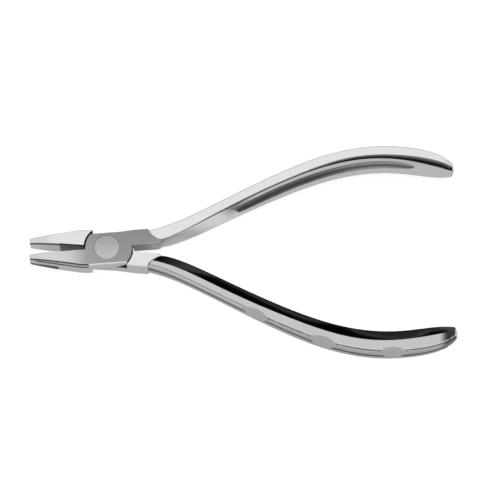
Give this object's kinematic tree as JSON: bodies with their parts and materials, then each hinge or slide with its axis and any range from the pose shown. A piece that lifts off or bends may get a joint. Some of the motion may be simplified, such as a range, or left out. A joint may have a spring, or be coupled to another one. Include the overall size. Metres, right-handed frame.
{
  "type": "orthodontic pliers",
  "caption": "Hand pliers with short tapered jaws, a flush-screw lap joint and long curved handles with finger grooves.",
  "frame": {"origin": "on the pivot axis, in the flat rear face of the lap joint", "axes": "+X from the pivot along the handles, -X towards the jaw tips, +Y towards the handle of the front half, +Z through the thickness to the face with the screw head"},
  "size_m": [0.1306, 0.0668, 0.008],
  "materials": {
    "steel": "polished stainless steel, satin on the joint faces and in the grooves",
    "screw_steel": "fine turned stainless steel",
    "hard_insert": "ground hard metal"
  },
  "bodies": {
    "rear": {"rear_half": "steel", "pivot_screw": "screw_steel", "upper_jaw_insert": "hard_insert"},
    "front": {"front_half": "steel", "lower_jaw_insert": "hard_insert"}
  },
  "joints": [
    {"name": "pivot", "type": "hinge", "parent": "rear", "child": "front", "pos_m": [0, 0, 0.004], "axis": [0, 0, 1], "range_deg": [-8.8, 26]}
  ]
}
